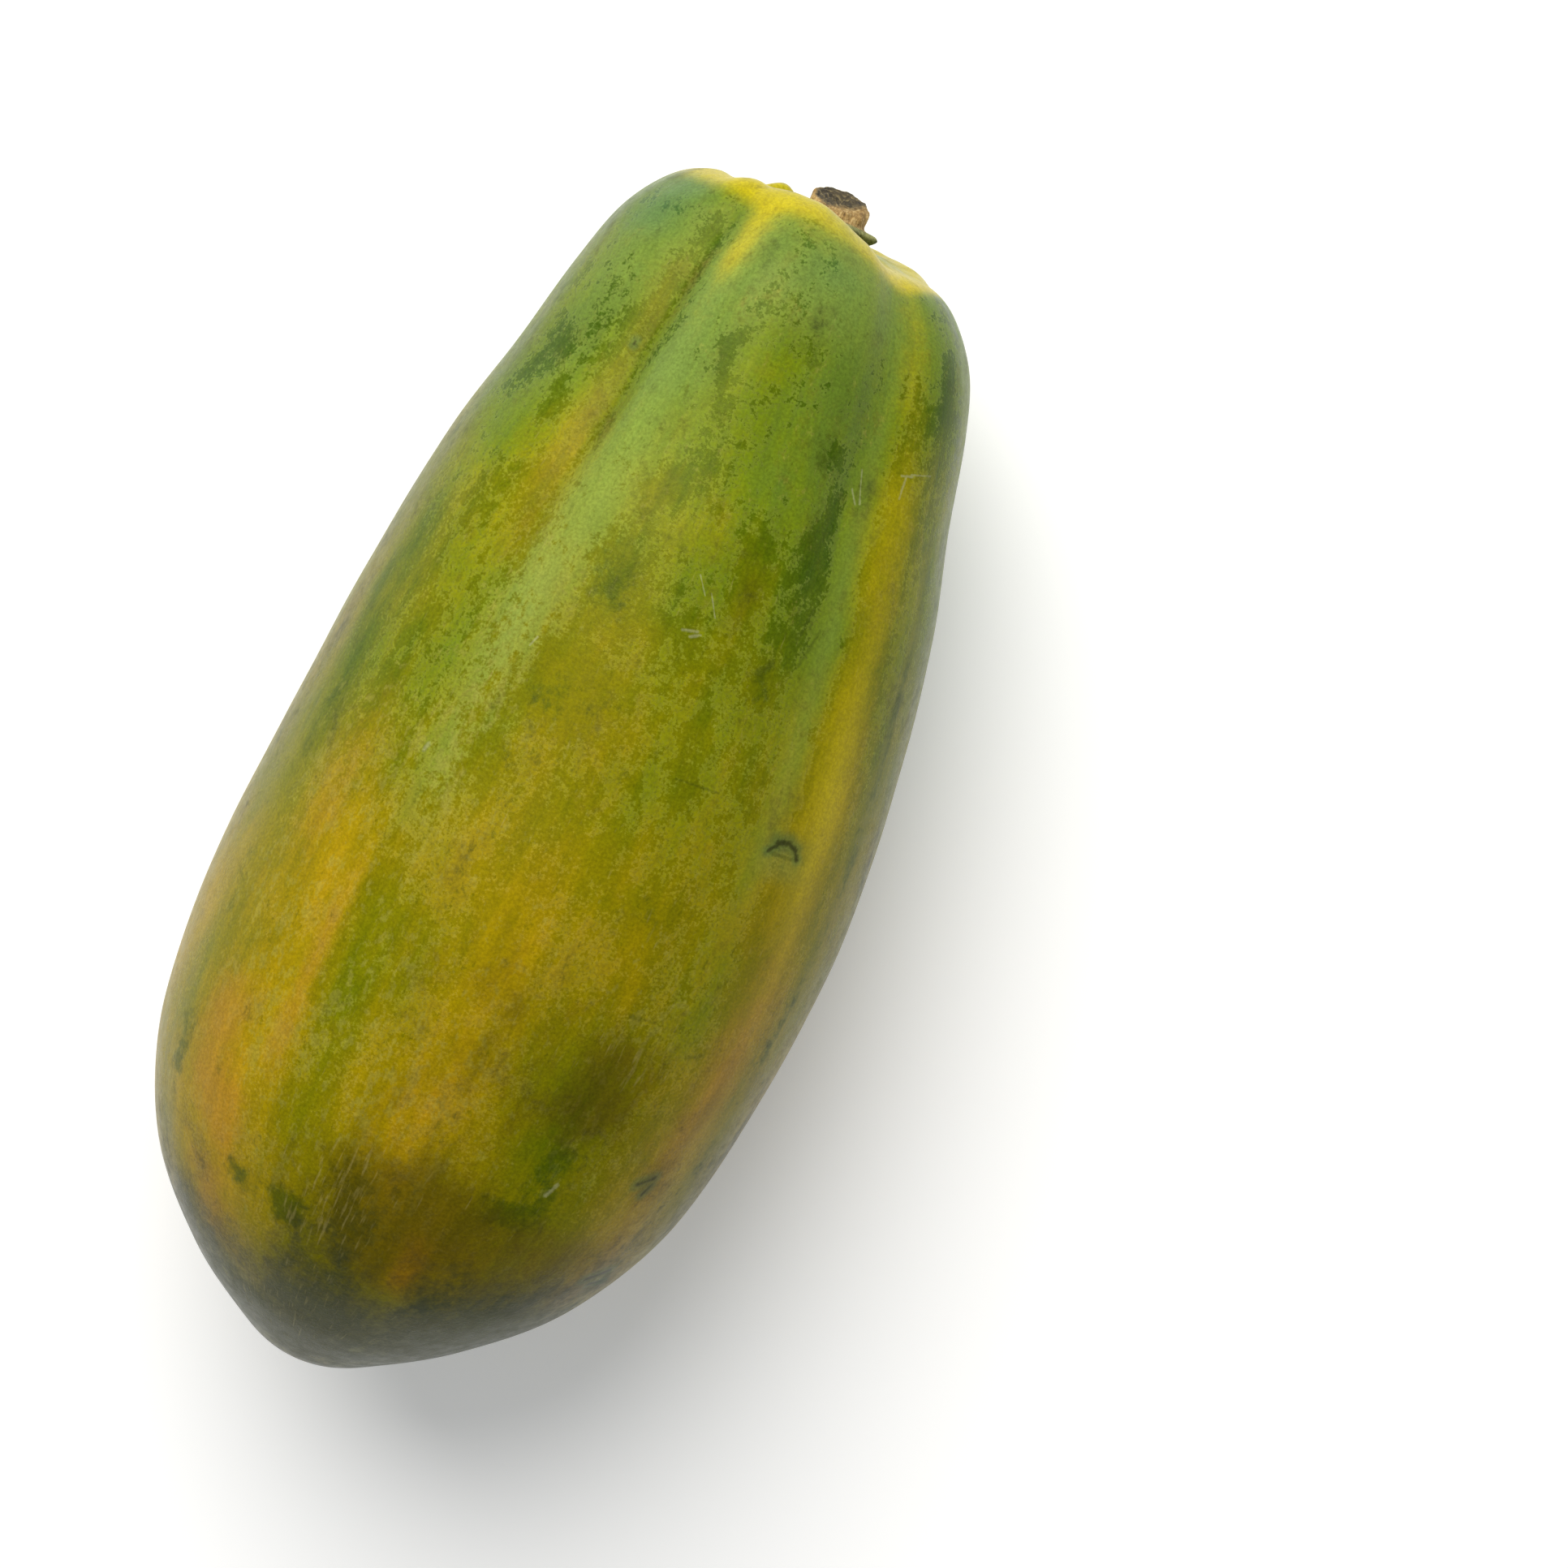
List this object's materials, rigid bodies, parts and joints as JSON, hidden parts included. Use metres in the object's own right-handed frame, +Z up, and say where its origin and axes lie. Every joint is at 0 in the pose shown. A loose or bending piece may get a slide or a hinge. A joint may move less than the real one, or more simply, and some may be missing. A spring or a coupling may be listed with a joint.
{
  "type": "papaya",
  "caption": "Large elongated ripening papaya, as picked, lying on its side on a small flat spot, with a lobed stem end and a cut woody stalk.",
  "frame": {"origin": "the middle of the bottom of the whole part's box, on the surface that the fruit lies on", "axes": "+Z up, +Y along the fruit from its blossom end to its stem end, +X across it"},
  "size_m": [0.1362, 0.2876, 0.1346],
  "materials": {
    "rind": "thin waxy fruit skin, satin, mottled green, olive, yellow and orange, with a pale bloom at the stem end",
    "stalk": "dry fibrous cut stalk, matt tan and brown, with a green calyx round its foot"
  },
  "bodies": {
    "root": {"fruit": "rind", "peduncle": "stalk"}
  },
  "joints": []
}
